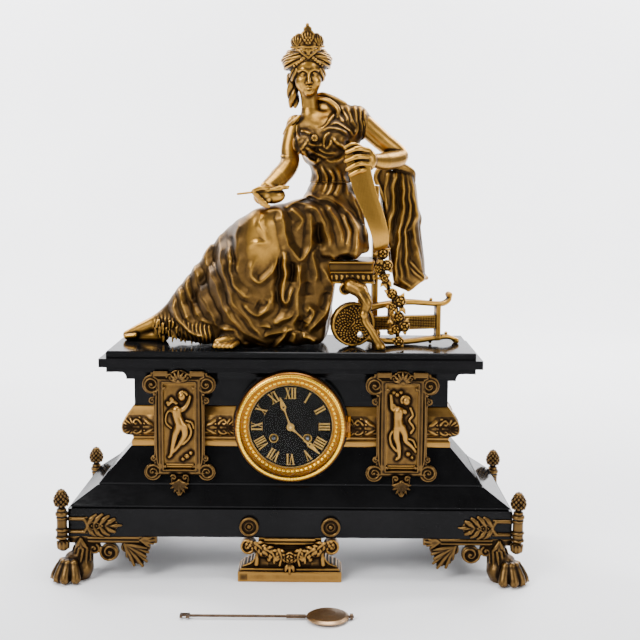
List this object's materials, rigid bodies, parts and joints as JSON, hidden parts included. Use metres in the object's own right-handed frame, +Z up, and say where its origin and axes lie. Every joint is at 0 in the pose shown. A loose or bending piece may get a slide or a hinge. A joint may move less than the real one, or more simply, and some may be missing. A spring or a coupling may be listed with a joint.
{
  "type": "figural mantel clock",
  "caption": "Seated bronze muse on a stepped black marble case with a striking clock, bronze reliefs, paw feet and its pendulum laid in front.",
  "frame": {"origin": "on the surface the clock stands on, under the middle of the case", "axes": "+X to the viewer's right along the case, +Y to the back, +Z up"},
  "size_m": [0.5318, 0.3309, 0.6136],
  "materials": {
    "marble": "polished black marble",
    "bronze": "patinated bronze with worn gilt high spots",
    "gilt": "gilt brass",
    "brass": "brass",
    "steel": "steel",
    "glass": "clear glass",
    "dial": "black dial"
  },
  "bodies": {
    "case": {"base_block": "marble", "lower_slope": "marble", "upper_slope": "marble", "case_body": "marble", "dial_backing": "marble", "cornice_bed": "marble", "cornice_slab": "marble", "top_slab": "marble", "frieze": "bronze", "plaque_left": "bronze", "plaque_right": "bronze", "relief_left": "bronze", "relief_right": "bronze", "foot_front_left": "bronze", "foot_front_right": "bronze", "foot_back_left": "bronze", "foot_back_right": "bronze", "post_front_left": "bronze", "post_front_right": "bronze", "post_back_left": "bronze", "post_back_right": "bronze", "front_foot": "bronze", "roundels": "bronze", "dial_surround": "gilt", "dial": "dial", "front_plate": "brass", "back_plate": "brass", "suspension_cock": "brass", "bell": "brass", "bell_stand": "steel", "rear_ring": "brass", "clamp_straps": "steel", "figure_skirt": "bronze", "figure_torso": "bronze", "figure_head": "bronze", "scroll": "bronze", "stool": "bronze", "mantle": "bronze", "lyre": "bronze", "garland": "bronze"},
    "bezel": {"bezel": "gilt", "bezel_glass": "glass"},
    "rear_door": {"rear_door": "brass"},
    "minute_train": {"centre_wheel": "brass", "minute_hand": "gilt"},
    "hour_train": {"hour_wheel": "brass", "hour_hand": "gilt"},
    "motion_wheel": {"minute_wheel": "brass"},
    "going_barrel": {"going_barrel": "brass"},
    "going_arbor": {"going_arbor": "steel"},
    "third_wheel": {"third_wheel": "brass"},
    "escape_wheel": {"escape_wheel": "brass"},
    "anchor": {"anchor": "steel"},
    "strike_barrel": {"strike_barrel": "brass"},
    "strike_arbor": {"strike_arbor": "steel"},
    "pin_wheel": {"pin_wheel": "brass"},
    "fly": {"fly": "brass"},
    "hammer": {"hammer": "steel"},
    "pendulum": {"pendulum_rod": "steel", "pendulum_bob": "brass"}
  },
  "joints": [
    {"name": "bezel_hinge", "type": "hinge", "parent": "case", "child": "bezel", "pos_m": [0.0644, -0.0713, 0.171], "axis": [0, 0, 1], "range_deg": [0, 110]},
    {"name": "rear_door_hinge", "type": "hinge", "parent": "case", "child": "rear_door", "pos_m": [0.05205, 0.058, 0.171], "axis": [0, 0, -1], "range_deg": [0, 110]},
    {"name": "minute_turn", "type": "hinge", "parent": "case", "child": "minute_train", "pos_m": [0, -0.03, 0.171], "axis": [0, 1, 0], "continuous": true},
    {"name": "hour_turn", "type": "hinge", "parent": "case", "child": "hour_train", "pos_m": [0, -0.06, 0.171], "axis": [0, 1, 0], "continuous": true},
    {"name": "motion_turn", "type": "hinge", "parent": "case", "child": "motion_wheel", "pos_m": [-0.0098, -0.054, 0.1809], "axis": [0, 1, 0], "continuous": true},
    {"name": "going_barrel_turn", "type": "hinge", "parent": "case", "child": "going_barrel", "pos_m": [0.0187, -0.03, 0.1575], "axis": [0, 1, 0], "continuous": true},
    {"name": "going_wind", "type": "hinge", "parent": "case", "child": "going_arbor", "pos_m": [0.0187, -0.03, 0.1575], "axis": [0, 1, 0], "continuous": true},
    {"name": "third_turn", "type": "hinge", "parent": "case", "child": "third_wheel", "pos_m": [0.0102, -0.03, 0.1832], "axis": [0, 1, 0], "continuous": true},
    {"name": "escape_turn", "type": "hinge", "parent": "case", "child": "escape_wheel", "pos_m": [0, -0.03, 0.192], "axis": [0, 1, 0], "continuous": true},
    {"name": "anchor_swing", "type": "hinge", "parent": "case", "child": "anchor", "pos_m": [0, -0.03, 0.206], "axis": [0, 1, 0], "range_deg": [-3, 3]},
    {"name": "strike_barrel_turn", "type": "hinge", "parent": "case", "child": "strike_barrel", "pos_m": [-0.0187, -0.03, 0.1575], "axis": [0, 1, 0], "continuous": true},
    {"name": "strike_wind", "type": "hinge", "parent": "case", "child": "strike_arbor", "pos_m": [-0.0187, -0.03, 0.1575], "axis": [0, 1, 0], "continuous": true},
    {"name": "pin_wheel_turn", "type": "hinge", "parent": "case", "child": "pin_wheel", "pos_m": [-0.024, -0.03, 0.1783], "axis": [0, 1, 0], "continuous": true},
    {"name": "fly_turn", "type": "hinge", "parent": "case", "child": "fly", "pos_m": [-0.015, -0.03, 0.1869], "axis": [0, 1, 0], "continuous": true},
    {"name": "hammer_swing", "type": "hinge", "parent": "case", "child": "hammer", "pos_m": [-0.036, -0.03, 0.178], "axis": [0, 1, 0], "range_deg": [0, 12]},
    {"name": "pendulum_slide", "type": "slide", "parent": "case", "child": "pendulum", "axis": [0, -1, 0], "range_m": [0, 0.06]}
  ],
  "couplings": [
    {"joint": "motion_turn", "follows": "minute_turn", "ratio": -0.33333},
    {"joint": "hour_turn", "follows": "minute_turn", "ratio": 0.083333},
    {"joint": "going_barrel_turn", "follows": "minute_turn", "ratio": -0.2},
    {"joint": "third_turn", "follows": "minute_turn", "ratio": -9},
    {"joint": "escape_turn", "follows": "minute_turn", "ratio": 81},
    {"joint": "pin_wheel_turn", "follows": "strike_barrel_turn", "ratio": -6.6667},
    {"joint": "fly_turn", "follows": "strike_barrel_turn", "ratio": 50}
  ]
}
